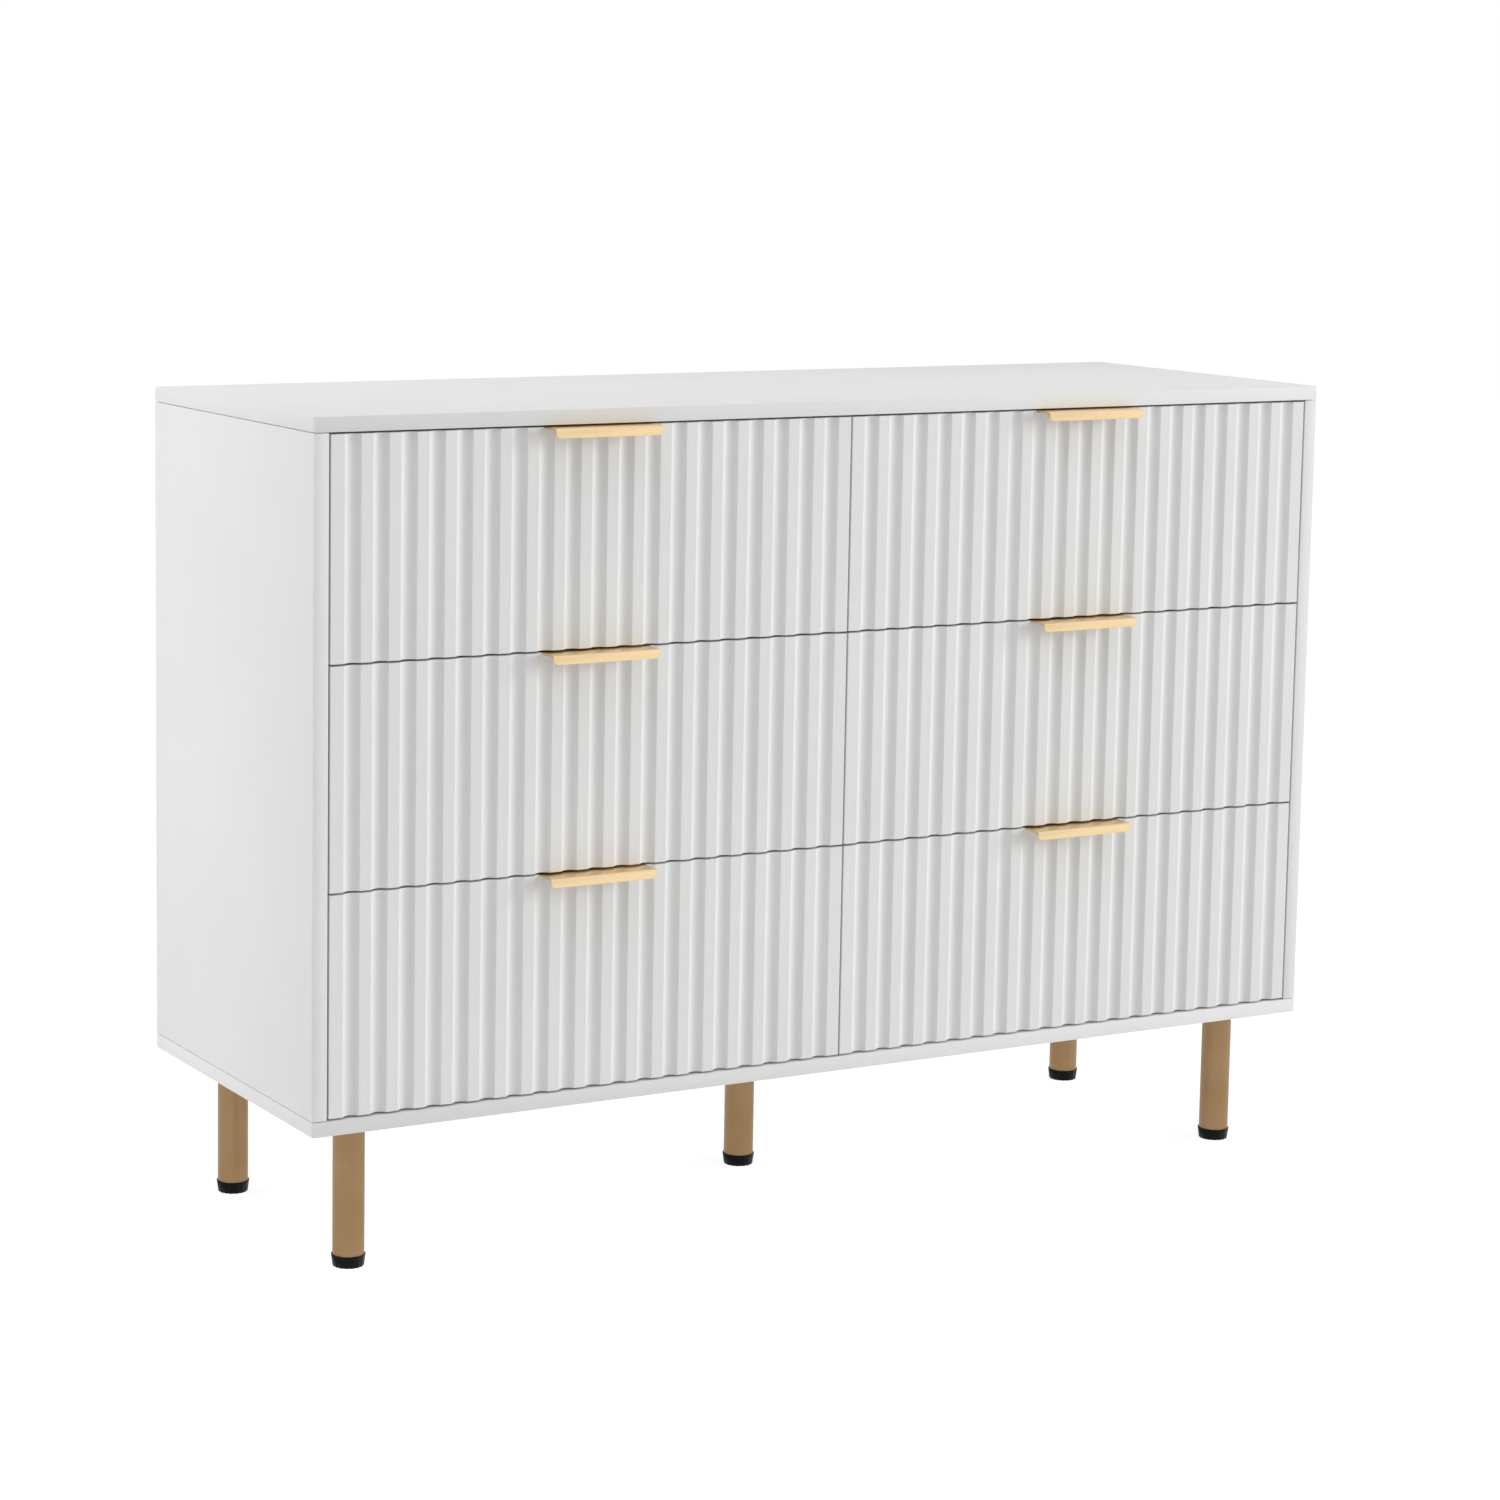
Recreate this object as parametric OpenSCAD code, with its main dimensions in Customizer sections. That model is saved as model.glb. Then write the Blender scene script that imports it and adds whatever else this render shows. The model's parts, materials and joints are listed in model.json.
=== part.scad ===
// A low dresser on five tubular legs, with two columns of inset drawers.
// The drawer fronts are fluted, and each has a thin L-shaped pull over its top edge.
// X runs to the right, Y to the back and Z up. The origin is on the floor under the
// middle of the case. Everything in a drawer is drawn for the right-hand column and
// mirrored for the left one.

/* [Case] */
// Width over the side panels
case_w = 1200; // [960:10:1500]
// Depth of the panels, front to back
case_d = 400; // [330:10:560]
// Height from the underside of the case to its top
case_h = 700; // [580:10:900]
// Thickness of the panels
panel_t = 15; // [14:1:22]
// Thickness of the two back sheets
back_t = 3; // [2:0.5:5]
// From the back edges of the panels to the back sheets
back_inset = 10; // [6:1:20]
// Depth of the grooves that hold sheets
groove_depth = 5; // [3:0.5:6]

/* [Legs] */
// Height of the case above the floor
leg_h = 150; // [80:5:220]
// Outside diameter of the leg tubes
leg_d = 32; // [24:1:50]
// Wall of the leg tubes
leg_wall = 1.5; // [1:0.25:3]
// From a side of the case to the middle of a corner leg
leg_inset_x = 64; // [50:1:120]
// From the front or back of the case to the middle of a corner leg
leg_inset_y = 55; // [50:1:120]
// How far the square plate reaches past the leg tube
plate_rim = 19; // [14:1:24]
// Thickness of that plate
plate_t = 2.5; // [2:0.5:4]
// Height of the foot caps
foot_h = 12; // [8:1:20]
// Thickness of a foot cap under its tube
foot_floor = 8; // [5:0.5:9]
// How far the rim of a foot cap stands out from its tube
foot_rim = 1.3; // [1:0.1:3]

/* [Drawers] */
// Drawers in a column
rows = 3; // [2:1:4]
// Gap around every drawer front
front_gap = 2; // [1.5:0.5:4]
// Thickness of the drawer fronts
front_t = 15; // [14:1:22]
// Thickness of the drawer sides and backs
box_t = 12; // [12:1:16]
// Height of the drawer sides
box_h = 130; // [110:5:135]
// From the lower edge of a front to the drawer sides
box_lift = 20; // [10:1:25]
// Thickness of the drawer bottoms
bottom_t = 3; // [2.5:0.5:5]
// From the lower edge of the sides to the bottom sheet
bottom_lift = 8; // [6:1:15]

/* [Flutes] */
// Distance between the middles of neighbouring grooves
flute_pitch = 29.75; // [20:0.25:45]
// Width of a groove at the face of the front
flute_w = 17; // [10:0.5:19]
// Depth of a groove
flute_depth = 4.5; // [2:0.25:5]
// Least flat left at each end of a front
flute_margin = 8; // [5:1:20]

/* [Pulls] */
// Length of a pull
pull_l = 120; // [80:5:200]
// Thickness of its sheet metal
pull_t = 2; // [1.5:0.25:3]
// How far it stands out in front of the drawer
pull_out = 20; // [15:1:30]
// Height of its hanging lip
pull_lip = 9.5; // [8:0.5:20]
// Height of its flange behind the front
pull_flange = 22; // [18:1:30]
// Outer radius of its bends
pull_bend = 3; // [2.5:0.5:5]
// Radius of the lower corners of the lip and the flange
pull_corner = 5; // [2:0.5:7]

/* [Slides] */
// Height of the outer slide members
slide_h = 35; // [30:1:45]
// Thickness of a closed slide
slide_t = 12.7; // [12:0.1:14]
// Thickness of the slides' sheet metal
slide_gauge = 1.2; // [1:0.1:1.5]
// Running gap between slide members
slide_play = 0.4; // [0.3:0.1:0.5]
// Step between the stock lengths that slides come in
slide_step = 50; // [25:25:50]
// From the back of a front to the end of its slides
slide_setback = 5; // [3:1:10]

/* [Fixings] */
// Diameter of the case cam locks
cam_d = 15; // [12:1:15]
// Diameter of the drawer cam locks
small_cam_d = 12; // [10:1:12]
// Board left behind a cam lock
cam_floor = 3; // [2:0.5:4]
// From the end of a board to the middle of a cam lock
cam_reach = 24; // [22:1:30]
// Length of the dowels
dowel_l = 30; // [25:1:35]
// Diameter of the dowels
dowel_d = 8; // [6:1:8]

/* [Hidden] */
$fn = 48;
fit = 0.1;          // radial clearance of every pin, bolt, cam and dowel
cut = 1;            // how far a cutting shape runs past a face
sheet_play = 0.4;   // how much wider a groove is than its sheet, and how far its end clears
rear_space = 15;    // least space behind a drawer
back_gap = 1;       // gap between the two back sheets
divider_setback = 2;

white = "#f2f2f0";
board_edge = "#dcdad4";
gold = "#d9b47c";
bronze = "#a8824f";
black = "#1b1b1c";
steel = "#b9bcc0";
beech = "#d8b98a";

// Case
inner_w = case_w - 2 * panel_t;
inner_h = case_h - 2 * panel_t;
case_mid = leg_h + case_h / 2;
upright_z = leg_h + panel_t;
bay_w = (inner_w - panel_t) / 2;
sheet_y = case_d / 2 - back_inset - back_t;
upright_x = [-(case_w - panel_t) / 2, 0, (case_w - panel_t) / 2];
cam_face_x = [-inner_w / 2, panel_t / 2, inner_w / 2];
cam_way = [-1, -1, 1];
bolt_inset = 50;     // from the front and back of the case to the cam bolts
dowel_inset = 90;    // and to the dowels
case_bolt_d = 5;
bolt_head_d = 7;
bolt_grip = 11;      // how far a bolt screws into the board across it
cam_depth = panel_t - cam_floor;

// Legs
plate_w = leg_d + 2 * plate_rim;
leg_x = case_w / 2 - leg_inset_x;
leg_y = case_d / 2 - leg_inset_y;
leg_places = [[-leg_x, -leg_y], [leg_x, -leg_y], [-leg_x, leg_y], [leg_x, leg_y], [0, 0]];
leg_screw_d = 4;
leg_screw_l = panel_t - 3;
leg_screw_at = plate_w / 2 - 8;
foot_taper = 1.7;    // how much smaller a foot cap's radius is at the floor than at its rim
foot_rim_h = 2;

// Drawer fronts
front_w = (inner_w - 3 * front_gap) / 2;
front_h = (inner_h - (rows + 1) * front_gap) / rows;
front_x = (front_w + front_gap) / 2;
front_y = -case_d / 2;
box_y = front_y + front_t;
flute_r = (flute_w * flute_w / 4 + flute_depth * flute_depth) / (2 * flute_depth);
flutes_each_way = floor((front_w / 2 - flute_w / 2 - flute_margin) / flute_pitch);

// Drawer boxes
slide_l = slide_step * floor((sheet_y - rear_space - box_y - slide_setback) / slide_step);
slide_nest = slide_gauge + slide_play;
box_x = (panel_t + bay_w) / 2;
box_w = bay_w - 2 * slide_t;
box_l = slide_l + slide_setback;
box_half = box_w / 2;
box_inner = box_w - 2 * box_t;
drawer_bolt_d = 4;
drawer_bolt_head_d = 5.6;
drawer_bolt_grip = 8;
drawer_bolt_inset = 22;   // from the lower and upper edges of a side to its bolts
small_cam_depth = box_t - cam_floor;
box_screw_d = 3.5;
box_screw_head_d = 7;
box_screw_head_h = 2;
box_screw_l = 35;
box_screw_inset = 35;

// Pull
pull_screw_d = 3.5;
pull_screw_head_d = 7;
pull_screw_head_h = 1.8;
pull_screw_grip = 8.5;
pull_screw_in = 18;       // from the ends of a pull to its screws
pull_screw_drop = 13;     // from the top of a pull to its screws

drawer_parts = ["front", "sides", "back", "bottom", "pull", "fixings", "slide_inner", "slide_middle"];
case_parts = ["top_panel", "bottom_panel", "side_panel_left", "side_panel_right", "center_divider",
    "back_sheets", "legs", "foot_caps", "slide_outer", "cam_fittings", "dowels", "leg_screws"];

function drawer_name(column, row) = str("drawer_", ["left", "right"][column], "_", row + 1, "_");
function front_z(row) = upright_z + front_gap + (rows - 1 - row) * (front_h + front_gap);
function box_z(row) = front_z(row) + box_lift;

// ---- Placing ----

// Draws its children as they are and mirrored from left to right
module both_hands() {
    children();
    mirror([1, 0, 0]) children();
}

// Draws its children as they are and mirrored about the middle of the case's height
module both_ends() {
    children();
    translate([0, 0, 2 * case_mid]) mirror([0, 0, 1]) children();
}

module in_column(column) {
    if (column == 0) mirror([1, 0, 0]) children();
    else children();
}

// At the upper joints of the uprights that are named, a given way in from the front and the back
module at_joints(inset, uprights = [0, 1, 2]) {
    for (u = uprights, way = [-1, 1])
        translate([upright_x[u], way * (case_d / 2 - inset), leg_h + case_h - panel_t]) children();
}

module at_legs() {
    for (place = leg_places) translate([place[0], place[1], 0]) children();
}

module at_plate_screws() {
    for (x = [-1, 1], y = [-1, 1]) translate([x * leg_screw_at, y * leg_screw_at, leg_h - plate_t]) children();
}

// At the two slides of a drawer, with x = 0 on the panel that carries the slide and x pointing into the bay
module at_slides(row) {
    translate([box_x, box_y + slide_setback, box_z(row) + box_h / 2])
        both_hands() translate([bay_w / 2, 0, 0]) mirror([1, 0, 0]) children();
}

// ---- Case fixings ----

// A cam bolt with its joint plane at z = 0, screwed upwards
module cam_bolt(grow = 0) {
    translate([0, 0, -cam_reach + 2]) cylinder(d = case_bolt_d + 2 * grow, h = bolt_grip + cam_reach - 2);
    translate([0, 0, -cam_reach - 2]) cylinder(d = bolt_head_d, h = 5);
}

module cam(diameter, depth) {
    cylinder(d = diameter, h = depth);
}

// A cam lock across an upright, set in from its face
module case_cam(u, grow = 0) {
    translate([cam_face_x[u] - upright_x[u], 0, -cam_reach])
        rotate([0, 90 * cam_way[u], 0]) cam(cam_d + 2 * grow, cam_depth);
}

// What the cam bolts and the dowels take out of the boards at the upper joints
module joint_holes(uprights) {
    at_joints(bolt_inset, uprights) {
        cylinder(d = case_bolt_d + 2 * fit, h = bolt_grip);
        translate([0, 0, -cam_reach]) cylinder(d = bolt_head_d + 2 * fit, h = cam_reach);
    }
    for (u = uprights) at_joints(bolt_inset, [u]) case_cam(u, fit);
    at_joints(dowel_inset, uprights) dowel_hole();
}

module dowel_hole() {
    translate([0, 0, -dowel_l * 2 / 3 - fit]) cylinder(d = dowel_d + 2 * fit, h = dowel_l + 2 * fit);
}

// ---- Case ----

module back_groove() {
    width = inner_w + 2 * groove_depth;
    height = inner_h + 2 * groove_depth;
    translate([-width / 2, sheet_y, case_mid - height / 2]) cube([width, back_t + sheet_play, height]);
}

module cross_panel() {
    difference() {
        translate([-case_w / 2, -case_d / 2, leg_h + case_h - panel_t]) cube([case_w, case_d, panel_t]);
        back_groove();
        joint_holes([0, 1, 2]);
    }
}

module top_panel() {
    color(white) cross_panel();
}

module bottom_panel() {
    color(white)
    difference() {
        translate([0, 0, 2 * case_mid]) mirror([0, 0, 1]) cross_panel();
        at_legs() at_plate_screws() cylinder(d = leg_screw_d + 2 * fit, h = plate_t + leg_screw_l);
    }
}

module side_panel(u) {
    color(white)
    difference() {
        translate([upright_x[u] - panel_t / 2, -case_d / 2, upright_z]) cube([panel_t, case_d, inner_h]);
        back_groove();
        both_ends() joint_holes([u]);
    }
}

module side_panel_left() {
    side_panel(0);
}

module side_panel_right() {
    side_panel(2);
}

module center_divider() {
    color(white)
    difference() {
        translate([-panel_t / 2, box_y + divider_setback, upright_z])
            cube([panel_t, sheet_y - box_y - divider_setback, inner_h]);
        both_ends() joint_holes([1]);
    }
}

module back_sheets() {
    width = inner_w / 2 + groove_depth - sheet_play - back_gap / 2;
    height = inner_h + 2 * (groove_depth - sheet_play);
    color(board_edge)
    both_hands()
        translate([back_gap / 2, sheet_y, case_mid - height / 2]) cube([width, back_t, height]);
}

module cam_fittings() {
    color(steel)
    both_ends() {
        at_joints(bolt_inset) cam_bolt();
        for (u = [0, 1, 2]) at_joints(bolt_inset, [u])
            difference() {
                case_cam(u);
                translate([0, 0, -cam_reach - 3]) cylinder(d = bolt_head_d + 2 * fit, h = cam_d);
            }
    }
}

module dowels() {
    color(beech)
    both_ends() at_joints(dowel_inset)
        translate([0, 0, -dowel_l * 2 / 3]) cylinder(d = dowel_d, h = dowel_l);
}

// ---- Legs ----

module leg() {
    difference() {
        union() {
            translate([0, 0, foot_floor]) cylinder(d = leg_d, h = leg_h - plate_t - foot_floor);
            translate([-plate_w / 2, -plate_w / 2, leg_h - plate_t]) cube([plate_w, plate_w, plate_t]);
        }
        translate([0, 0, foot_floor - cut])
            cylinder(d = leg_d - 2 * leg_wall, h = leg_h - plate_t - foot_floor + cut);
        at_plate_screws() translate([0, 0, -cut]) cylinder(d = leg_screw_d + 2 * fit, h = plate_t + 2 * cut);
    }
}

module legs() {
    color(bronze) at_legs() leg();
}

module foot_caps() {
    rim_r = leg_d / 2 + foot_rim;
    color(black)
    at_legs() difference() {
        union() {
            cylinder(r1 = rim_r - foot_taper, r2 = rim_r, h = foot_h - foot_rim_h);
            translate([0, 0, foot_h - foot_rim_h]) cylinder(r = rim_r, h = foot_rim_h);
        }
        translate([0, 0, foot_floor]) cylinder(d = leg_d + fit, h = foot_h);
    }
}

module leg_screws() {
    color(steel)
    at_legs() at_plate_screws() {
        cylinder(d = leg_screw_d, h = plate_t + leg_screw_l - fit);
        translate([0, 0, -leg_screw_d / 2]) cylinder(d = 2 * leg_screw_d, h = leg_screw_d / 2);
    }
}

// ---- Slides ----

// A channel along Y, from x = from to x = to, with its web at one of those and open at the other
module channel(from, to, height, web_first) {
    translate([0, slide_l, 0]) rotate([90, 0, 0]) linear_extrude(slide_l)
        difference() {
            translate([from, -height / 2]) square([to - from, height]);
            translate([web_first ? from + slide_gauge : from - cut, slide_gauge - height / 2])
                square([to - from - slide_gauge + cut, height - 2 * slide_gauge]);
        }
}

module slide_outer() {
    color(steel)
    both_hands() for (row = [0 : rows - 1]) at_slides(row)
        channel(0, slide_t - 2 * slide_nest, slide_h, true);
}

module slide_middle(column, row) {
    color(steel)
    in_column(column) at_slides(row)
        channel(slide_nest, slide_t - slide_nest, slide_h - 2 * slide_nest, true);
}

module slide_inner(column, row) {
    color(steel)
    in_column(column) at_slides(row)
        channel(2 * slide_nest, slide_t, slide_h - 4 * slide_nest, false);
}

// ---- Drawers ----

module at_box(row) {
    translate([box_x, box_y, box_z(row)]) children();
}

// At the two cam bolts of a drawer's right side, with the joint plane at y = 0
module at_side_bolts() {
    for (z = [drawer_bolt_inset, box_h - drawer_bolt_inset])
        translate([box_half - box_t / 2, 0, z]) children();
}

// At the screws that join a drawer's right side to its back, from the outer face inwards
module at_back_screws() {
    for (z = [box_screw_inset, box_h - box_screw_inset])
        translate([box_half, box_l - box_t / 2, z]) rotate([0, -90, 0]) children();
}

module at_pull_screws(row) {
    for (x = [-1, 1])
        translate([front_x + x * (pull_l / 2 - pull_screw_in), box_y, front_z(row) + front_h - pull_screw_drop])
            rotate([90, 0, 0]) children();
}

module sheet_groove() {
    translate([-box_half + box_t - groove_depth, -groove_depth, bottom_lift])
        cube([box_inner + 2 * groove_depth, box_l + groove_depth + cut, bottom_t + sheet_play]);
}

module flutes(row) {
    for (i = [-flutes_each_way : flutes_each_way])
        translate([front_x + i * flute_pitch, front_y - flute_r + flute_depth, front_z(row) - cut])
            cylinder(r = flute_r, h = front_h + 2 * cut);
}

// The seat of a pull in the top edge of a front, eased at the back where the pull bends down
module pull_notch(row) {
    width = pull_l + sheet_play;
    ease = sqrt(2) * (pull_bend - pull_t);
    translate([front_x - width / 2, 0, front_z(row) + front_h - pull_t]) {
        translate([0, front_y - cut, 0]) cube([width, front_t + 2 * cut, pull_t + cut]);
        translate([0, box_y, -ease / sqrt(2)]) rotate([45, 0, 0]) cube([width, ease, ease]);
    }
}

module drawer_front(column, row) {
    color(white)
    in_column(column) difference() {
        translate([front_x - front_w / 2, front_y, front_z(row)]) cube([front_w, front_t, front_h]);
        flutes(row);
        pull_notch(row);
        at_box(row) {
            sheet_groove();
            both_hands() at_side_bolts()
                rotate([90, 0, 0]) cylinder(d = drawer_bolt_d + 2 * fit, h = drawer_bolt_grip + fit);
        }
        at_pull_screws(row) cylinder(d = pull_screw_d + 2 * fit, h = pull_screw_grip + fit);
    }
}

module drawer_sides(column, row) {
    color(board_edge)
    in_column(column) at_box(row) difference() {
        both_hands() translate([box_half - box_t, 0, 0]) cube([box_t, box_l, box_h]);
        sheet_groove();
        both_hands() {
            at_side_bolts() {
                rotate([-90, 0, 0]) cylinder(d = drawer_bolt_head_d + 2 * fit, h = cam_reach);
                translate([box_t / 2, cam_reach, 0]) rotate([0, -90, 0])
                    cam(small_cam_d + 2 * fit, small_cam_depth);
            }
            at_back_screws() back_screw(fit);
        }
    }
}

module drawer_back(column, row) {
    sheet_top = bottom_lift + bottom_t;
    color(board_edge)
    in_column(column) at_box(row) difference() {
        translate([-box_inner / 2, box_l - box_t, sheet_top]) cube([box_inner, box_t, box_h - sheet_top]);
        both_hands() at_back_screws() back_screw(fit);
    }
}

module drawer_bottom(column, row) {
    width = box_inner + 2 * (groove_depth - sheet_play);
    color(board_edge)
    in_column(column) at_box(row)
        translate([-width / 2, sheet_play - groove_depth, bottom_lift])
            cube([width, box_l + groove_depth - sheet_play, bottom_t]);
}

module back_screw(grow = 0) {
    cylinder(d = box_screw_d + 2 * grow, h = box_screw_l + grow);
    cylinder(d1 = box_screw_head_d + 2 * grow, d2 = box_screw_d + 2 * grow, h = box_screw_head_h + grow);
}

module drawer_bolt() {
    rotate([90, 0, 0]) cylinder(d = drawer_bolt_d, h = drawer_bolt_grip);
    rotate([-90, 0, 0]) cylinder(d = drawer_bolt_d, h = cam_reach - 2);
    translate([0, cam_reach - 3, 0]) rotate([-90, 0, 0]) cylinder(d = drawer_bolt_head_d, h = 4);
}

module drawer_cam() {
    difference() {
        translate([box_t / 2, cam_reach, 0]) rotate([0, -90, 0]) cam(small_cam_d, small_cam_depth);
        translate([0, cam_reach - small_cam_d, 0]) rotate([-90, 0, 0])
            cylinder(d = drawer_bolt_head_d + 2 * fit, h = small_cam_d + 1.5);
    }
}

module drawer_fixings(column, row) {
    color(steel)
    in_column(column) {
        at_box(row) both_hands() {
            at_side_bolts() {
                drawer_bolt();
                drawer_cam();
            }
            at_back_screws() back_screw();
        }
        at_pull_screws(row) {
            cylinder(d = pull_screw_d, h = pull_screw_grip);
            translate([0, 0, -pull_t - pull_screw_head_h]) cylinder(d = pull_screw_head_d, h = pull_screw_head_h);
            translate([0, 0, -pull_t - pull_screw_head_h / 2])
                cylinder(d = pull_screw_d, h = pull_t + pull_screw_head_h / 2 + cut);
        }
    }
}

// ---- Pulls ----

// The bent strip from the front: y runs to the back from the lip, z down from the top
module pull_strip() {
    depth = pull_out + front_t + pull_t;
    inner_bend = pull_bend - pull_t;
    difference() {
        union() {
            translate([pull_bend, -pull_bend]) circle(r = pull_bend);
            translate([depth - pull_bend, -pull_bend]) circle(r = pull_bend);
            translate([pull_bend, -pull_bend]) square([depth - 2 * pull_bend, pull_bend]);
            translate([0, -pull_flange]) square([depth, pull_flange - pull_bend]);
        }
        translate([pull_bend, -pull_bend]) circle(r = inner_bend);
        translate([depth - pull_bend, -pull_bend]) circle(r = inner_bend);
        translate([pull_bend, -pull_bend - cut]) square([depth - 2 * pull_bend, inner_bend + cut]);
        translate([pull_t, -pull_flange - cut]) square([depth - 2 * pull_t, pull_flange - pull_bend + cut]);
    }
}

// The outline of a lip or a flange that hangs down from the top, with two round lower corners
module pull_outline(height) {
    hull_w = pull_l / 2 - pull_corner;
    both_hands() translate([hull_w, pull_corner - height]) circle(r = pull_corner);
    translate([-pull_l / 2, pull_corner - height]) square([pull_l, height]);
    translate([-hull_w, -height]) square([2 * hull_w, height]);
}

module pull_shape(from, depth, height) {
    intersection() {
        translate([-pull_l / 2, 0, 0]) rotate([90, 0, 90]) linear_extrude(pull_l) pull_strip();
        translate([0, from + depth, 0]) rotate([90, 0, 0]) linear_extrude(depth) pull_outline(height);
    }
}

module drawer_pull(column, row) {
    half = pull_out + front_t / 2;
    color(gold)
    in_column(column) difference() {
        translate([front_x, front_y - pull_out, front_z(row) + front_h]) {
            pull_shape(0, half, pull_lip);
            pull_shape(half, half, pull_flange);
        }
        at_pull_screws(row) translate([0, 0, -pull_t - cut])
            cylinder(d = pull_screw_d + 2 * fit, h = pull_t + 2 * cut);
    }
}

// ---- The nodes ----

top_panel();
bottom_panel();
side_panel_left();
side_panel_right();
center_divider();
back_sheets();
legs();
foot_caps();
slide_outer();
cam_fittings();
dowels();
leg_screws();
for (column = [0, 1], row = [0 : rows - 1]) {
    drawer = drawer_name(column, row);
    drawer_front(column, row);
    drawer_sides(column, row);
    drawer_back(column, row);
    drawer_bottom(column, row);
    drawer_pull(column, row);
    drawer_fixings(column, row);
    slide_inner(column, row);
    slide_middle(column, row);
}
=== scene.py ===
# %% [markdown]
# # A fluted dresser on tubular legs
# The dresser is a white case on five gold legs, with six fluted drawer fronts and a thin bent pull on each.
# Its construction is loaded as a fixed frame, in metres, with X to the right, Y to the back and Z up. The
# visible pieces are modelled around that frame, one kind of piece at a time. Each rides on the body of the
# frame that it belongs to. What stays hidden inside keeps its own shape and gets a finish.

# %% Load the frame
import bpy
import json
import math
from mathutils import Matrix, Vector

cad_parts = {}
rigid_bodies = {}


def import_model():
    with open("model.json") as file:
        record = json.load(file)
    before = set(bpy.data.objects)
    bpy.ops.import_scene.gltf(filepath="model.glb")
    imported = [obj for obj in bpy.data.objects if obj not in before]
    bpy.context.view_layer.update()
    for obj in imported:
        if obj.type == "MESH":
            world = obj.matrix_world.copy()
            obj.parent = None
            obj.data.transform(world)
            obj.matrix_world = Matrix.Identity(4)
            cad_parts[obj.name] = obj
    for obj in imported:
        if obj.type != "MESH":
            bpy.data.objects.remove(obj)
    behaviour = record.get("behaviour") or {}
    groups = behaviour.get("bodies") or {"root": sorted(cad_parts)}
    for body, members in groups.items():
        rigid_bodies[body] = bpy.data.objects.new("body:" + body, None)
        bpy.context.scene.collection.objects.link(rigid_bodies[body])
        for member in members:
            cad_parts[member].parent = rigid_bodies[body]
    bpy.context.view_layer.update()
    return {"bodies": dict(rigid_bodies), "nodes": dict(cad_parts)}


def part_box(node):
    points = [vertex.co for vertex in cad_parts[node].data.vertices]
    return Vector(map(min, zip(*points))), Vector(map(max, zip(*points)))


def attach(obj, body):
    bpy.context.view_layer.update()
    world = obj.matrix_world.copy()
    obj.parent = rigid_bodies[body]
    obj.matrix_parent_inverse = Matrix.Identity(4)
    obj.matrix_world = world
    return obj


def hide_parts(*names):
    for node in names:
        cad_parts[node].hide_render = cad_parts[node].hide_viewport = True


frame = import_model()
MM = 0.001

# %% [markdown]
# ## Small helpers
# An edit-mode operator acts on everything that is selected, so each step starts from an empty selection and
# then picks its faces or edges by where they are. A finished piece keeps its place in its mesh and its object
# at the origin, so a pattern that follows the object's coordinates runs on from piece to piece.

# %% Selecting
def only(piece):
    if bpy.context.mode != "OBJECT":
        bpy.ops.object.mode_set(mode="OBJECT")
    bpy.ops.object.select_all(action="DESELECT")
    piece.select_set(True)
    bpy.context.view_layer.objects.active = piece


def edit(piece):
    only(piece)
    bpy.ops.object.mode_set(mode="EDIT")
    bpy.ops.mesh.select_all(action="DESELECT")


def leave():
    bpy.ops.object.mode_set(mode="OBJECT")


SELECT_MODE = {"vertices": "VERT", "edges": "EDGE", "polygons": "FACE"}


def pick(piece, kind, test):
    """Selects the vertices, edges or faces whose middle passes the test, and nothing else."""
    bpy.ops.mesh.select_mode(type=SELECT_MODE[kind])
    bpy.ops.mesh.select_all(action="DESELECT")
    leave()
    mesh = piece.data
    for item in getattr(mesh, kind):
        if kind == "vertices":
            middle = item.co
        elif kind == "edges":
            middle = (mesh.vertices[item.vertices[0]].co + mesh.vertices[item.vertices[1]].co) / 2
        else:
            middle = item.center
        item.select = bool(test(middle))
    bpy.ops.object.mode_set(mode="EDIT")


def near(a, b, slack=0.02 * MM):
    return abs(a - b) < slack


# %% Finishing a mesh
def place(piece):
    """Puts the object at the origin, with its place in its mesh."""
    only(piece)
    bpy.ops.object.transform_apply(location=True, rotation=True, scale=True)


def apply_all(piece):
    only(piece)
    for modifier in list(piece.modifiers):
        bpy.ops.object.modifier_apply(modifier=modifier.name)


def smooth(piece, angle=35):
    only(piece)
    bpy.ops.object.shade_smooth_by_angle(angle=math.radians(angle))


def soften(piece, width, segments=2, angle=30):
    """Rounds every edge that turns more than the angle."""
    modifier = piece.modifiers.new("soften", "BEVEL")
    modifier.width = width
    modifier.segments = segments
    modifier.limit_method = "ANGLE"
    modifier.angle_limit = math.radians(angle)
    modifier.harden_normals = True
    apply_all(piece)


def join(first, *others):
    only(first)
    for other in others:
        other.select_set(True)
    bpy.ops.object.join()
    return first


def copy_to(piece, name, shift):
    twin = bpy.data.objects.new(name, piece.data.copy())
    twin.data.transform(Matrix.Translation(shift))
    bpy.context.scene.collection.objects.link(twin)
    return twin


# %% Giving a piece to the frame
def belongs(piece, name, body, slot, material, *nodes):
    piece.name = name
    piece.data.materials.clear()
    piece.data.materials.append(material)
    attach(piece, body)
    if nodes:
        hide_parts(*nodes)
    return piece


# %% [markdown]
# ## Node materials
# A finish is built from a Principled shader. Patterns read the object's own coordinates, in metres, so their
# scale is real: a noise with a scale of 400 has features about 2.5 mm across. Noise seldom leaves its middle
# range, so that range is spread over the two values a pattern runs between. Values that are the same all over
# sit on the shader's own sockets, and only roughness, colour or bump that varies is linked.

# %% A shader with its pattern tools
NOISE_LOW, NOISE_HIGH = 0.3, 0.7


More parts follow.
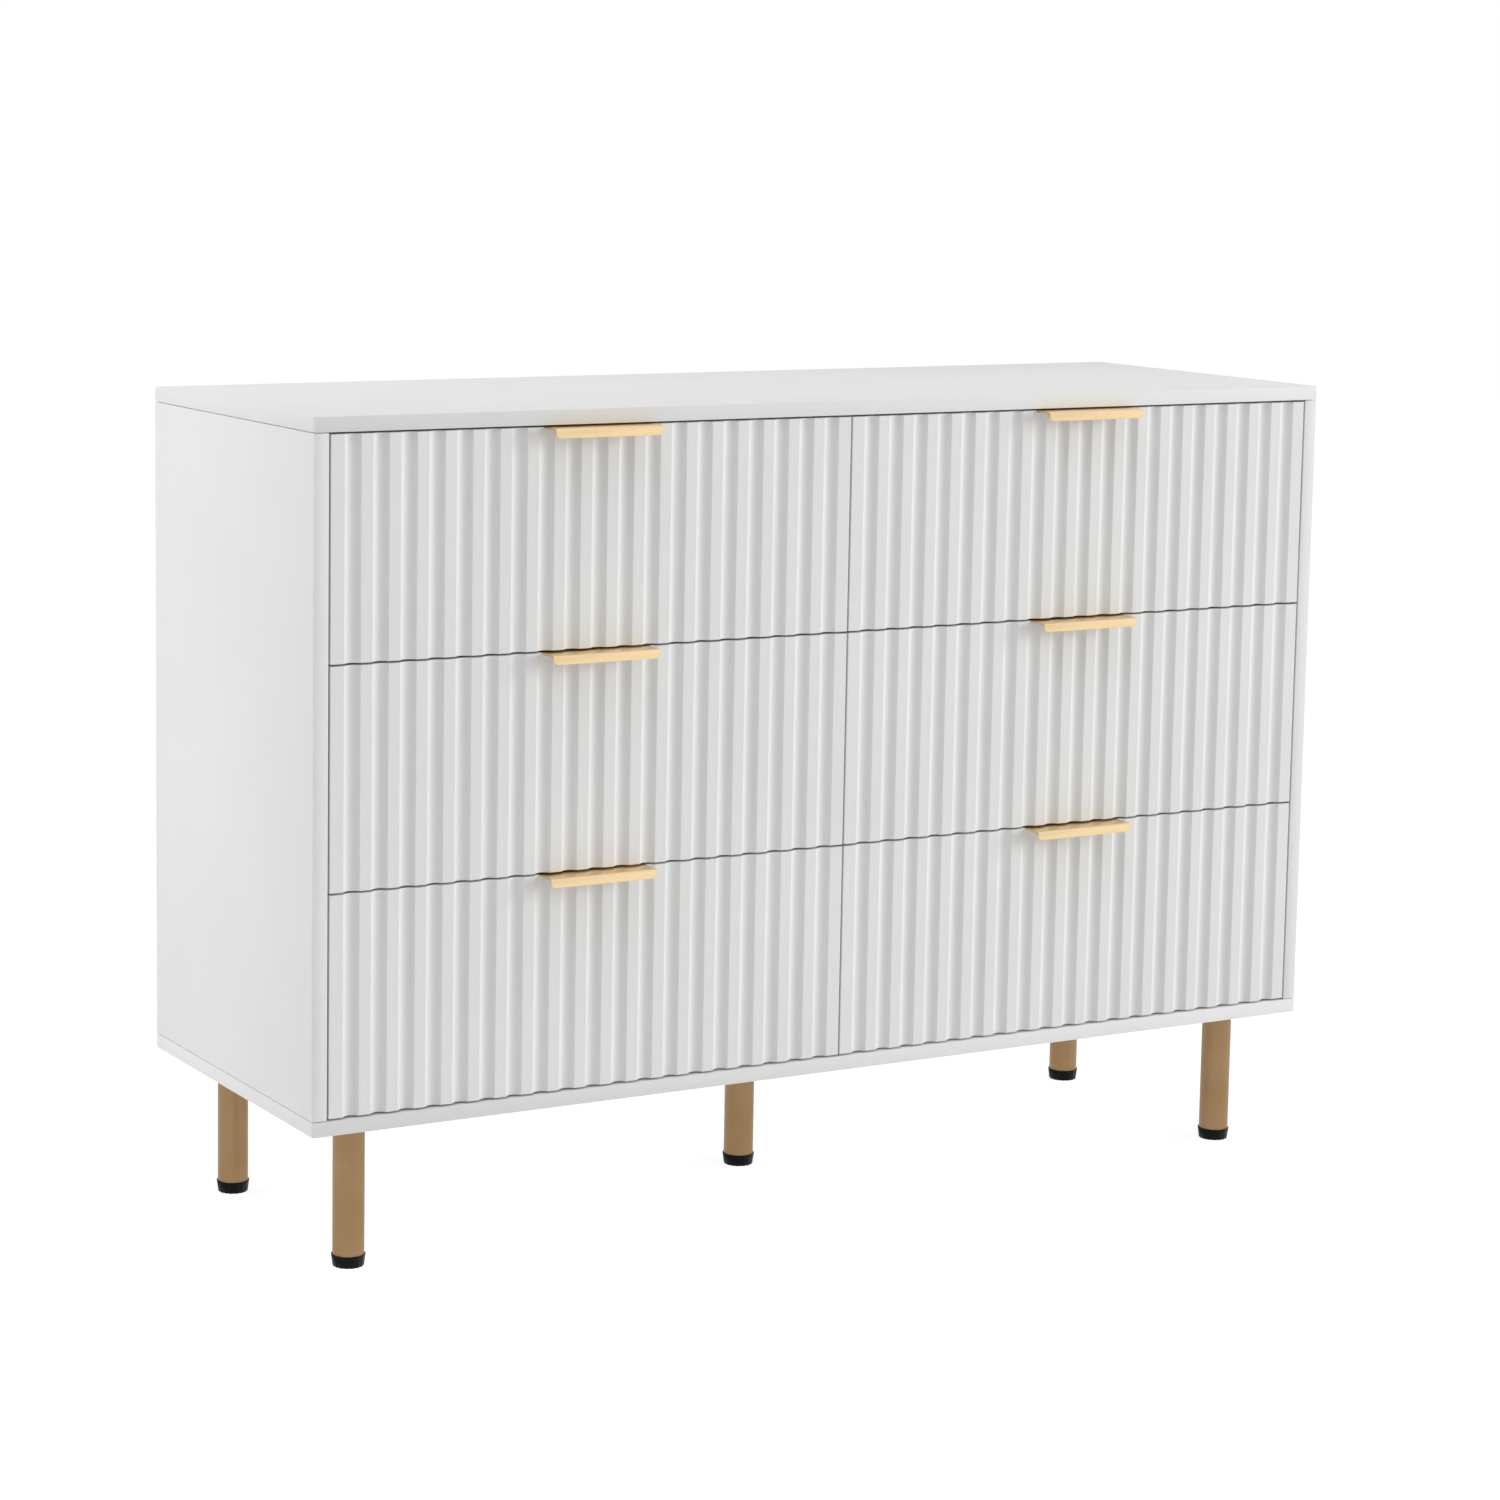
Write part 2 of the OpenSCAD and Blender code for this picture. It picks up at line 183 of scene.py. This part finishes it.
class Finish:
    def __init__(self, name, **sockets):
        self.material = bpy.data.materials.new(name)
        self.material.use_nodes = True
        self.nodes = self.material.node_tree.nodes
        self.links = self.material.node_tree.links
        self.shader = self.nodes["Principled BSDF"]
        for socket, value in sockets.items():
            self.shader.inputs[socket.replace("_", " ")].default_value = value
        self.coordinates = self.nodes.new("ShaderNodeTexCoord").outputs["Object"]

    def stretched(self, scale):
        mapping = self.nodes.new("ShaderNodeMapping")
        mapping.inputs["Scale"].default_value = scale
        self.links.new(self.coordinates, mapping.inputs["Vector"])
        return mapping.outputs["Vector"]

    def noise(self, scale, detail, stretch=None):
        noise = self.nodes.new("ShaderNodeTexNoise")
        noise.inputs["Scale"].default_value = scale
        noise.inputs["Detail"].default_value = detail
        vector = self.stretched(stretch) if stretch else self.coordinates
        self.links.new(vector, noise.inputs["Vector"])
        return noise.outputs["Fac"]

    def between(self, value, low, high):
        spread = self.nodes.new("ShaderNodeMapRange")
        spread.inputs["From Min"].default_value = NOISE_LOW
        spread.inputs["From Max"].default_value = NOISE_HIGH
        spread.inputs["To Min"].default_value = low
        spread.inputs["To Max"].default_value = high
        self.links.new(value, spread.inputs["Value"])
        return spread.outputs["Result"]

    def blend(self, value, first, second):
        mix = self.nodes.new("ShaderNodeMix")
        mix.data_type = "RGBA"
        mix.inputs["A"].default_value = (*first, 1)
        mix.inputs["B"].default_value = (*second, 1)
        self.links.new(self.between(value, 0, 1), mix.inputs["Factor"])
        self.links.new(mix.outputs["Result"], self.shader.inputs["Base Color"])

    def rough(self, value, low, high):
        self.links.new(self.between(value, low, high), self.shader.inputs["Roughness"])

    def bump(self, height, distance, strength):
        bump = self.nodes.new("ShaderNodeBump")
        bump.inputs["Distance"].default_value = distance
        bump.inputs["Strength"].default_value = strength
        self.links.new(height, bump.inputs["Height"])
        self.links.new(bump.outputs["Normal"], self.shader.inputs["Normal"])


# %% [markdown]
# ### White paint, laminate and board
# The outside is sprayed satin white. One flat colour would do from afar, but near by it looks like plastic,
# so the paint has a faint orange peel a few millimetres across and a gloss that wanders slightly. The drawer
# boxes are wrapped in a duller foil, the thin back and bottom sheets are hardboard with a fine pressed
# texture, and the dowels are beech with an upright grain.

# %% White finishes
def white_paint():
    finish = Finish("white_paint", Specular_IOR_Level=0.3)
    finish.blend(finish.noise(6, 3), (0.80, 0.80, 0.795), (0.82, 0.82, 0.815))
    finish.rough(finish.noise(60, 3), 0.44, 0.54)
    finish.bump(finish.noise(350, 2), 0.02 * MM, 0.5)
    return finish.material


def white_foil():
    finish = Finish("white_foil")
    finish.blend(finish.noise(40, 4), (0.74, 0.74, 0.725), (0.78, 0.78, 0.765))
    finish.rough(finish.noise(200, 2), 0.5, 0.62)
    finish.bump(finish.noise(900, 3), 0.04 * MM, 0.6)
    return finish.material


def hardboard():
    finish = Finish("hardboard")
    finish.blend(finish.noise(500, 4), (0.66, 0.655, 0.635), (0.72, 0.715, 0.70))
    finish.rough(finish.noise(300, 2), 0.55, 0.7)
    finish.bump(finish.noise(1400, 2), 0.06 * MM, 0.7)
    return finish.material


def beech():
    finish = Finish("beech")
    finish.blend(finish.noise(90, 4, stretch=(6, 6, 0.6)), (0.58, 0.40, 0.23), (0.70, 0.52, 0.33))
    finish.rough(finish.noise(300, 2), 0.5, 0.65)
    return finish.material


WHITE = white_paint()
FOIL = white_foil()
SHEET = hardboard()
BEECH = beech()
print("white finishes made")

# %% [markdown]
# ### Gold, zinc and black plastic
# The pulls are brushed along their length. An anisotropic shader would stretch the highlights instead, but it
# needs a tangent along each strip. Noise stretched about eighty times along X gives the fine lines
# themselves, in colour, roughness and bump together. The legs have a darker bronze-gold coat, satin and not
# mirror bright, with the same kind of lines running up the tube. The slides and fixings are zinc plated
# steel, and the feet are moulded black plastic with a fine grain.

# %% Metal and plastic finishes
def brushed_gold():
    finish = Finish("brushed_gold", Metallic=1.0)
    lines = finish.noise(1500, 3, stretch=(0.012, 1, 1))
    finish.blend(lines, (0.80, 0.60, 0.345), (0.86, 0.66, 0.40))
    finish.rough(lines, 0.26, 0.36)
    finish.bump(lines, 0.006 * MM, 0.5)
    return finish.material


def bronze_coat():
    finish = Finish("bronze_coat", Metallic=1.0)
    lines = finish.noise(2500, 2, stretch=(1, 1, 0.01))
    finish.blend(finish.noise(25, 3), (0.30, 0.190, 0.095), (0.33, 0.212, 0.112))
    finish.rough(lines, 0.38, 0.44)
    finish.bump(lines, 0.002 * MM, 0.3)
    return finish.material


def zinc():
    finish = Finish("zinc", Metallic=1.0)
    finish.blend(finish.noise(300, 4), (0.56, 0.57, 0.59), (0.68, 0.69, 0.70))
    finish.rough(finish.noise(500, 3), 0.28, 0.42)
    finish.bump(finish.noise(1200, 2), 0.01 * MM, 0.4)
    return finish.material


def black_plastic():
    finish = Finish("black_plastic", Specular_IOR_Level=0.1)
    finish.blend(finish.noise(200, 3), (0.003, 0.003, 0.003), (0.007, 0.007, 0.007))
    finish.rough(finish.noise(900, 2), 0.32, 0.45)
    finish.bump(finish.noise(2500, 2), 0.03 * MM, 0.6)
    return finish.material


GOLD = brushed_gold()
BRONZE = bronze_coat()
ZINC = zinc()
BLACK = black_plastic()
print("metal and plastic finishes made")

# %% [markdown]
# ## The case boards
# Each board has a thin band glued along its front edge, and where the band and the board meet, or two boards
# meet, a fine grey line shows. A dark stripe in the paint could draw that line, but it would stay flat and
# would not move with the light. So the band is a slim slab of its own, a hair in front of the board, and a
# third slab set in from the faces joins the two. The side boards stop a hair short of the top and bottom.

# %% A slab with softened edges
EDGE = 0.3 * MM
BAND = 1.2 * MM
SLIT = 0.7 * MM
GLUE_DEPTH = 3 * MM
GLUE_EDGE = 0.1 * MM


def slab(low, high, edge=EDGE):
    low, high = Vector(low), Vector(high)
    bpy.ops.object.select_all(action="DESELECT")
    bpy.ops.mesh.primitive_cube_add(size=1, location=(low + high) / 2, scale=high - low)
    piece = bpy.context.object
    place(piece)
    edit(piece)
    bpy.ops.mesh.select_all(action="SELECT")
    bpy.ops.mesh.bevel(offset=edge, segments=2, affect="EDGES")
    leave()
    smooth(piece)
    return piece


def banded_board(node):
    low, high = (corner.copy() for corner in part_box(node))
    if node.startswith("side"):
        low.z += SLIT
        high.z -= SLIT
    seam = low.y + BAND
    band = slab(low, (high.x, seam, high.z))
    glue = slab((low.x + GLUE_DEPTH, seam - SLIT / 2, low.z + GLUE_DEPTH),
                (high.x - GLUE_DEPTH, seam + 2 * SLIT, high.z - GLUE_DEPTH), GLUE_EDGE)
    board = slab((low.x, seam + SLIT, low.z), high)
    return join(board, glue, band)


# %% The four outer boards and the divider
for node in ("top_panel", "bottom_panel", "side_panel_left", "side_panel_right"):
    piece = belongs(banded_board(node), node + "_board", "cabinet", "white_lacquer", WHITE, node)
    print(piece.name, len(piece.data.polygons), "faces")
divider_low, divider_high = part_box("center_divider")
belongs(slab(divider_low, divider_high), "divider_board", "cabinet", "white_laminate", FOIL, "center_divider")

# %% [markdown]
# ## A fluted drawer front
# Every front is a thick board whose face is cut by nineteen upright round-bottomed grooves with flat ribs
# between them. Nineteen cylinders could be cut out of a slab, at the price of nineteen booleans. Here one rib
# is a plane, and spinning its right-hand edge about the groove's axis sweeps the hollow. An Array repeats the
# pair, the sheet is extruded backwards, and its back is flattened, which gives one closed solid with faces
# that run the full height. A single cube cuts the seat of the pull. A narrow bevel rounds the lips of the
# grooves, so that they catch the light as paint over a milled edge does.

# %% Sizes of a front, from its node
front_low, front_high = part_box("drawer_left_1_front")
front_size = front_high - front_low
FLUTE_PITCH = 29.75 * MM
FLUTE_WIDTH = 17 * MM
FLUTE_DEPTH = 4.5 * MM
FLUTES = 19
FLUTE_STEPS = 16
LIP_ROUND = 0.7 * MM
flute_radius = (FLUTE_WIDTH ** 2 / 4 + FLUTE_DEPTH ** 2) / (2 * FLUTE_DEPTH)
flute_turn = 2 * math.asin(FLUTE_WIDTH / 2 / flute_radius)
rib = FLUTE_PITCH - FLUTE_WIDTH
end_rib = (front_size.x - (FLUTES - 1) * FLUTE_PITCH - FLUTE_WIDTH) / 2
print("rib", round(rib / MM, 2), "mm, end rib", round(end_rib / MM, 2), "mm")


# %% The fluted board
def one_rib_and_flute(x, y, low_z, high_z):
    """A flat rib whose left edge is at x, and the hollow to the right of it."""
    bpy.ops.object.select_all(action="DESELECT")
    bpy.ops.mesh.primitive_plane_add(size=1, location=(x + rib / 2, y, (low_z + high_z) / 2),
                                     rotation=(math.pi / 2, 0, 0))
    piece = bpy.context.object
    piece.scale = (rib, high_z - low_z, 1)
    place(piece)
    edit(piece)
    pick(piece, "edges", lambda m: near(m.x, x + rib))
    axis_place = (x + rib + FLUTE_WIDTH / 2, y - flute_radius + FLUTE_DEPTH, 0)
    bpy.ops.mesh.spin(steps=FLUTE_STEPS, angle=flute_turn, center=axis_place, axis=(0, 0, 1))
    leave()
    return piece


def fluted_board(low, high):
    first = low.x + end_rib - rib
    piece = one_rib_and_flute(first, low.y, low.z, high.z)
    array = piece.modifiers.new("repeat", "ARRAY")
    array.count = FLUTES
    array.use_relative_offset = False
    array.use_constant_offset = True
    array.constant_offset_displace = (FLUTE_PITCH, 0, 0)
    array.use_merge_vertices = True
    array.merge_threshold = 0.01 * MM
    apply_all(piece)
    edit(piece)
    pick(piece, "vertices", lambda v: near(v.x, first))
    bpy.ops.transform.translate(value=(low.x - first, 0, 0))
    last = high.x - end_rib
    pick(piece, "edges", lambda m: near(m.x, last, 0.1 * MM))
    bpy.ops.mesh.extrude_edges_move(TRANSFORM_OT_translate={"value": (end_rib, 0, 0)})
    bpy.ops.mesh.select_all(action="SELECT")
    bpy.ops.mesh.extrude_region_move(TRANSFORM_OT_translate={"value": (0, high.y - low.y, 0)})
    bpy.ops.transform.resize(value=(1, 0, 1), center_override=(0, high.y, 0))
    bpy.ops.mesh.select_all(action="SELECT")
    bpy.ops.mesh.normals_make_consistent(inside=False)
    leave()
    return piece


# %% The seat of the pull, and the softened lips
pull_low, pull_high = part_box("drawer_left_1_pull")
PULL_SHEET = 2 * MM
SEAT_PLAY = 0.2 * MM


def cut_seat(piece):
    bpy.ops.object.select_all(action="DESELECT")
    low = Vector((pull_low.x - SEAT_PLAY, front_low.y - MM, front_high.z - PULL_SHEET))
    high = Vector((pull_high.x + SEAT_PLAY, front_high.y + MM, front_high.z + MM))
    bpy.ops.mesh.primitive_cube_add(size=1, location=(low + high) / 2, scale=high - low)
    cutter = bpy.context.object
    place(cutter)
    seat = piece.modifiers.new("seat", "BOOLEAN")
    seat.operation = "DIFFERENCE"
    seat.object = cutter
    apply_all(piece)
    bpy.data.objects.remove(cutter)


model_front = fluted_board(front_low, front_high)
cut_seat(model_front)
smooth(model_front, 30)
soften(model_front, LIP_ROUND, segments=3)
print("front:", len(model_front.data.polygons), "faces")

# %% [markdown]
# ## A bent pull
# A pull is one strip of 2 mm sheet: a lip that hangs in front, a shelf over the front's top edge, and a
# flange screwed on behind. Three boxes would meet in sharp corners, where real sheet has a radius. So the
# strip is folded as the real one is: the lip starts as a plane, its top edge is spun through a right angle
# for each bend and extruded for each flat. The loose corners are rounded, and Solidify thickens the sheet.

# %% The strip
PULL_LIP = 9.5 * MM
PULL_BEND = 3 * MM
PULL_CORNER = 5 * MM
PULL_ROUND = 0.3 * MM
BEND_STEPS = 8


def bent_pull(low, high):
    middle = (low.x + high.x) / 2
    bpy.ops.object.select_all(action="DESELECT")
    bpy.ops.mesh.primitive_plane_add(size=1, rotation=(math.pi / 2, 0, 0),
                                     location=(middle, low.y, high.z - (PULL_LIP + PULL_BEND) / 2))
    piece = bpy.context.object
    piece.scale = (high.x - low.x, PULL_LIP - PULL_BEND, 1)
    place(piece)
    edit(piece)
    bend_z = high.z - PULL_BEND
    pick(piece, "edges", lambda m: near(m.z, bend_z))
    bpy.ops.mesh.spin(steps=BEND_STEPS, angle=math.pi / 2, axis=(1, 0, 0),
                      center=(middle, low.y + PULL_BEND, bend_z))
    pick(piece, "edges", lambda m: near(m.z, high.z) and near(m.y, low.y + PULL_BEND))
    shelf = high.y - low.y - 2 * PULL_BEND
    bpy.ops.mesh.extrude_edges_move(TRANSFORM_OT_translate={"value": (0, shelf, 0)})
    bpy.ops.mesh.spin(steps=BEND_STEPS, angle=math.pi / 2, axis=(1, 0, 0),
                      center=(middle, high.y - PULL_BEND, bend_z))
    pick(piece, "edges", lambda m: near(m.y, high.y) and near(m.z, bend_z))
    bpy.ops.mesh.extrude_edges_move(TRANSFORM_OT_translate={"value": (0, 0, low.z - bend_z)})
    lip_end = high.z - PULL_LIP
    pick(piece, "vertices", lambda v: near(v.z, low.z) or (near(v.z, lip_end) and near(v.y, low.y)))
    bpy.ops.mesh.bevel(offset=PULL_CORNER, segments=8, affect="VERTICES")
    bpy.ops.mesh.select_all(action="SELECT")
    bpy.ops.mesh.remove_doubles(threshold=0.005 * MM)
    bpy.ops.mesh.normals_make_consistent(inside=False)
    leave()
    return piece


model_pull = bent_pull(pull_low, pull_high)
top_faces = [f for f in model_pull.data.polygons if f.center.z > pull_high.z - 0.1 * MM]
print("shelf faces point up:", top_faces[0].normal.z > 0)
thickness = model_pull.modifiers.new("sheet", "SOLIDIFY")
thickness.thickness = PULL_SHEET
thickness.offset = -1 if top_faces[0].normal.z > 0 else 1
thickness.use_even_offset = True
apply_all(model_pull)
soften(model_pull, PULL_ROUND, angle=40)
smooth(model_pull, 40)
print("pull:", len(model_pull.data.polygons), "faces")

# %% [markdown]
# ### Six of each
# The six drawers are alike, so the front and the pull are modelled once, for the upper left drawer. Copies
# could share one mesh, but every piece keeps its place in its own, so each copy's mesh is moved by the
# distance between the two fronts in the frame. Each pair then rides on its own drawer and slides out with it.

# %% The six fronts and pulls
drawers = [name for name in frame["bodies"] if name.startswith("drawer_") and not name.endswith("_slides")]
for drawer in drawers:
    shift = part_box(drawer + "_front")[0] - front_low
    front = copy_to(model_front, drawer + "_fluted", shift)
    belongs(front, drawer + "_fluted", drawer, "white_lacquer", WHITE, drawer + "_front")
    pull = copy_to(model_pull, drawer + "_bent", shift)
    belongs(pull, drawer + "_bent", drawer, "brushed_gold", GOLD, drawer + "_pull")
bpy.data.objects.remove(model_front)
bpy.data.objects.remove(model_pull)
print(len(drawers), "drawers dressed")

# %% [markdown]
# ## The legs
# A leg is a round tube with a square plate welded on top. The tube is an open cylinder with a wall from
# Solidify rather than a rod, since its end is open inside the foot. The plate is a slab with softened edges,
# and a thin torus stands for the weld bead between them.

# %% One leg
legs_low, legs_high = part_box("legs")
LEG_RADIUS = 16 * MM
LEG_WALL = 1.5 * MM
PLATE = 2.5 * MM
PLATE_HALF = 35 * MM
PLATE_ROUND = 0.4 * MM
BEAD = 1.2 * MM
BEAD_SINK = 0.2 * MM
ROUND_SIDES = 96
leg_x = legs_high.x - PLATE_HALF
leg_y = legs_high.y - PLATE_HALF
leg_places = [(-leg_x, -leg_y), (leg_x, -leg_y), (-leg_x, leg_y), (leg_x, leg_y), (0, 0)]
print("legs:", round(leg_x / MM, 1), "and", round(leg_y / MM, 1), "mm from the middle, and one under it")


def leg():
    low, high = legs_low.z, legs_high.z - PLATE
    bpy.ops.object.select_all(action="DESELECT")
    bpy.ops.mesh.primitive_cylinder_add(vertices=ROUND_SIDES, radius=LEG_RADIUS, depth=high - low,
                                        end_fill_type="NOTHING", location=(0, 0, (low + high) / 2))
    tube = bpy.context.object
    place(tube)
    wall = tube.modifiers.new("wall", "SOLIDIFY")
    wall.thickness = LEG_WALL
    wall.offset = -1
    apply_all(tube)
    smooth(tube)
    bpy.ops.object.select_all(action="DESELECT")
    bpy.ops.mesh.primitive_torus_add(major_radius=LEG_RADIUS, minor_radius=BEAD, major_segments=ROUND_SIDES,
                                     minor_segments=12, location=(0, 0, high - BEAD_SINK))
    bead = bpy.context.object
    place(bead)
    smooth(bead)
    plate = slab((-PLATE_HALF, -PLATE_HALF, high), (PLATE_HALF, PLATE_HALF, legs_high.z), PLATE_ROUND)
    return join(tube, bead, plate)


# %% [markdown]
# ## The feet
# Each tube ends in a moulded cap, a little wider at its rim than at the floor, with shallow notches around
# its lower edge. A cone would give the taper only. Instead the bottom ring of a cylinder is scaled in, and
# then every other pair of its points again for the notches. The top is inset for the rim and pushed down.

# %% One foot cap
feet_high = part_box("foot_caps")[1]
rim_radius = feet_high.x - leg_x
print("foot rim:", round(rim_radius / MM, 1), "mm radius")
FOOT_TAPER = 1.7 * MM
FOOT_TEETH = 16
NOTCH = 0.965
RIM_SINK = 1.5 * MM
RIM_PLAY = 0.1 * MM
CAP_ROUND = 0.35 * MM


def tooth_gap(v):
    """True for two of every four points around the foot."""
    step = math.atan2(v.y, v.x) / (2 * math.pi) * 4 * FOOT_TEETH
    return round(step) % 4 < 2


def foot_cap():
    height = feet_high.z
    bpy.ops.object.select_all(action="DESELECT")
    bpy.ops.mesh.primitive_cylinder_add(vertices=4 * FOOT_TEETH, radius=rim_radius, depth=height,
                                        location=(0, 0, height / 2))
    piece = bpy.context.object
    place(piece)
    edit(piece)
    pick(piece, "vertices", lambda v: near(v.z, 0))
    shrink = 1 - FOOT_TAPER / rim_radius
    bpy.ops.transform.resize(value=(shrink, shrink, 1), center_override=(0, 0, 0))
    pick(piece, "vertices", lambda v: near(v.z, 0) and tooth_gap(v))
    bpy.ops.transform.resize(value=(NOTCH, NOTCH, 1), center_override=(0, 0, 0))
    pick(piece, "polygons", lambda m: near(m.z, height))
    bpy.ops.mesh.inset(thickness=rim_radius - LEG_RADIUS - RIM_PLAY)
    bpy.ops.mesh.extrude_region_move(TRANSFORM_OT_translate={"value": (0, 0, -RIM_SINK)})
    leave()
    soften(piece, CAP_ROUND, segments=3, angle=40)
    smooth(piece, 40)
    return piece


# %% [markdown]
# ### Five of each
# Four legs stand near the corners of the case and the fifth under its middle. All five belong to the case and
# share one finish, so the copies are joined into one piece instead of being kept as five.

# %% Legs and feet in their places
def five_of(model):
    copies = [copy_to(model, model.name, Vector((x, y, 0))) for x, y in leg_places]
    bpy.data.objects.remove(model)
    return join(*copies)


belongs(five_of(leg()), "leg_tubes", "cabinet", "gold_metal", BRONZE, "legs")
belongs(five_of(foot_cap()), "foot_cups", "cabinet", "black_plastic", BLACK, "foot_caps")
print("legs and feet made")

# %% [markdown]
# ## What stays as it was built
# The drawer boxes, slides, back sheets and fixings have their true shapes already, so they only need their
# finishes. Their meshes are left alone, and each node's one material is replaced.

# %% Finishes of the carried-over nodes
finish_of = {
    "back_sheets": SHEET, "slide_outer": ZINC, "cam_fittings": ZINC, "dowels": BEECH, "leg_screws": ZINC,
    "sides": FOIL, "back": FOIL, "bottom": SHEET, "fixings": ZINC, "slide_inner": ZINC, "slide_middle": ZINC,
}
kept = 0
for name, node in frame["nodes"].items():
    kind = name
    for drawer in drawers:
        kind = kind.removeprefix(drawer + "_")
    node.data.materials.clear()
    node.data.materials.append(finish_of.get(kind, WHITE))
    kept += kind in finish_of
print(kept, "nodes keep their shape")

# %% [markdown]
# ## Floor, light and camera
# The dresser stands on a plain white floor under an even sky. More light would turn both white, but it would
# wash out the paint as well. So the floor and sky show their own white to the camera and in reflections only,
# and the share of the floor that is still lit keeps the shadow under the case.

# %% The floor and the sky
FLOOR_GLOW_SHARE = 0.6
FLOOR_GLOW = 1.4
SKY = 0.46
FLOOR_SIZE = 60
FLOOR_WHITE = (0.9, 0.9, 0.9, 1)


def seen_directly(nodes, links):
    """1 for a ray from the camera or off a shiny surface, and 0 for light that falls on things."""
    path = nodes.new("ShaderNodeLightPath")
    seen = nodes.new("ShaderNodeMath")
    seen.operation = "MAXIMUM"
    links.new(path.outputs["Is Camera Ray"], seen.inputs[0])
    links.new(path.outputs["Is Glossy Ray"], seen.inputs[1])
    return seen.outputs[0]


bpy.ops.object.select_all(action="DESELECT")
bpy.ops.mesh.primitive_plane_add(size=FLOOR_SIZE, location=(0, 0, 0))
floor = bpy.context.object
floor.name = "studio_floor"
floor_paint = bpy.data.materials.new("studio_floor")
floor_paint.use_nodes = True
nodes, links = floor_paint.node_tree.nodes, floor_paint.node_tree.links
nodes["Principled BSDF"].inputs["Base Color"].default_value = FLOOR_WHITE
nodes["Principled BSDF"].inputs["Roughness"].default_value = 0.9
nodes["Principled BSDF"].inputs["Specular IOR Level"].default_value = 0.0
share = nodes.new("ShaderNodeMath")
share.operation = "MULTIPLY"
share.inputs[1].default_value = FLOOR_GLOW_SHARE
links.new(seen_directly(nodes, links), share.inputs[0])
white = nodes.new("ShaderNodeEmission")
white.inputs["Strength"].default_value = FLOOR_GLOW
mix = nodes.new("ShaderNodeMixShader")
links.new(share.outputs[0], mix.inputs["Fac"])
links.new(nodes["Principled BSDF"].outputs["BSDF"], mix.inputs[1])
links.new(white.outputs["Emission"], mix.inputs[2])
links.new(mix.outputs["Shader"], nodes["Material Output"].inputs["Surface"])
floor.data.materials.append(floor_paint)

world = bpy.data.worlds.new("studio")
bpy.context.scene.world = world
world.use_nodes = True
nodes, links = world.node_tree.nodes, world.node_tree.links
nodes["Background"].inputs["Color"].default_value = (1, 1, 1, 1)
sky_level = nodes.new("ShaderNodeMapRange")
sky_level.inputs["To Min"].default_value = SKY
sky_level.inputs["To Max"].default_value = 1.0
links.new(seen_directly(nodes, links), sky_level.inputs["Value"])
links.new(sky_level.outputs["Result"], nodes["Background"].inputs["Strength"])
print("floor and sky set")

# %% [markdown]
# ### The lamps
# A large soft key stands low at the right front, so it grazes the fronts and each groove gets a bright left
# wall and a dark right one. Its glare would burn out the top seen from behind. A third of its light therefore
# comes from a second lamp in the same place, the only one of the two that shows in reflections: enough for
# a highlight on the metal. A fill stands at the left, towards the back, and a panel overhead lights the top.

# %% The lamps
def panel_lamp(name, place_at, aim, size, watts):
    lamp = bpy.data.lights.new(name, "AREA")
    lamp.shape = "RECTANGLE"
    lamp.size, lamp.size_y = size
    lamp.energy = watts
    holder = bpy.data.objects.new(name, lamp)
    holder.location = place_at
    holder.rotation_euler = (Vector(aim) - Vector(place_at)).to_track_quat("-Z", "Y").to_euler()
    bpy.context.scene.collection.objects.link(holder)
    return holder


KEY = {"place_at": (7.1, -3.9, 2.0), "aim": (0, -0.2, 0.5), "size": (4.0, 4.0)}
key = panel_lamp("key", watts=260, **KEY)
side_fill = panel_lamp("side_fill", place_at=(-3.9, 2.2, 1.6), aim=(0, 0, 0.55), size=(2.4, 2.0), watts=64)
for lamp in (key, side_fill):
    lamp.visible_glossy = False
panel_lamp("sparkle", watts=120, **KEY)
panel_lamp("overhead", place_at=(-1.0, -0.5, 3.6), aim=(-0.3, 0, 0.85), size=(3.0, 2.0), watts=33)
print("lamps set")

# %% [markdown]
# ### The camera
# It stands to the left, a little above the top, and looks slightly down through a long lens, so the front,
# the left side and the top all show. A constraint could aim it, but would keep it dead level. Here its matrix
# is built from a place, a turn, a tilt and a slight roll, and a small shift brings the dresser to the middle.

# %% The camera
cam_data = bpy.data.cameras.new("camera")
camera = bpy.data.objects.new("camera", cam_data)
bpy.context.scene.collection.objects.link(camera)
bpy.context.scene.camera = camera
CAMERA_PLACE = Vector((-2.082, -3.472, 1.151))
TURN, TILT, ROLL = math.radians(28.7), math.radians(-7.5), math.radians(0.74)
SENSOR, LENS = 36, 91.3
SHIFT_RIGHT, SHIFT_UP = 0.1, -0.1
camera.matrix_world = (
    Matrix.Translation(CAMERA_PLACE)
    @ Matrix.Rotation(-TURN, 4, "Z")
    @ Matrix.Rotation(math.pi / 2 + TILT, 4, "X")
    @ Matrix.Rotation(ROLL, 4, "Z")
)
cam_data.sensor_width = SENSOR
cam_data.lens = LENS
cam_data.shift_x = SHIFT_RIGHT
cam_data.shift_y = SHIFT_UP
cam_data.clip_end = 200
bpy.context.scene.view_settings.view_transform = "Standard"
print("camera at", [round(v, 2) for v in CAMERA_PLACE], "with a", LENS, "mm lens")
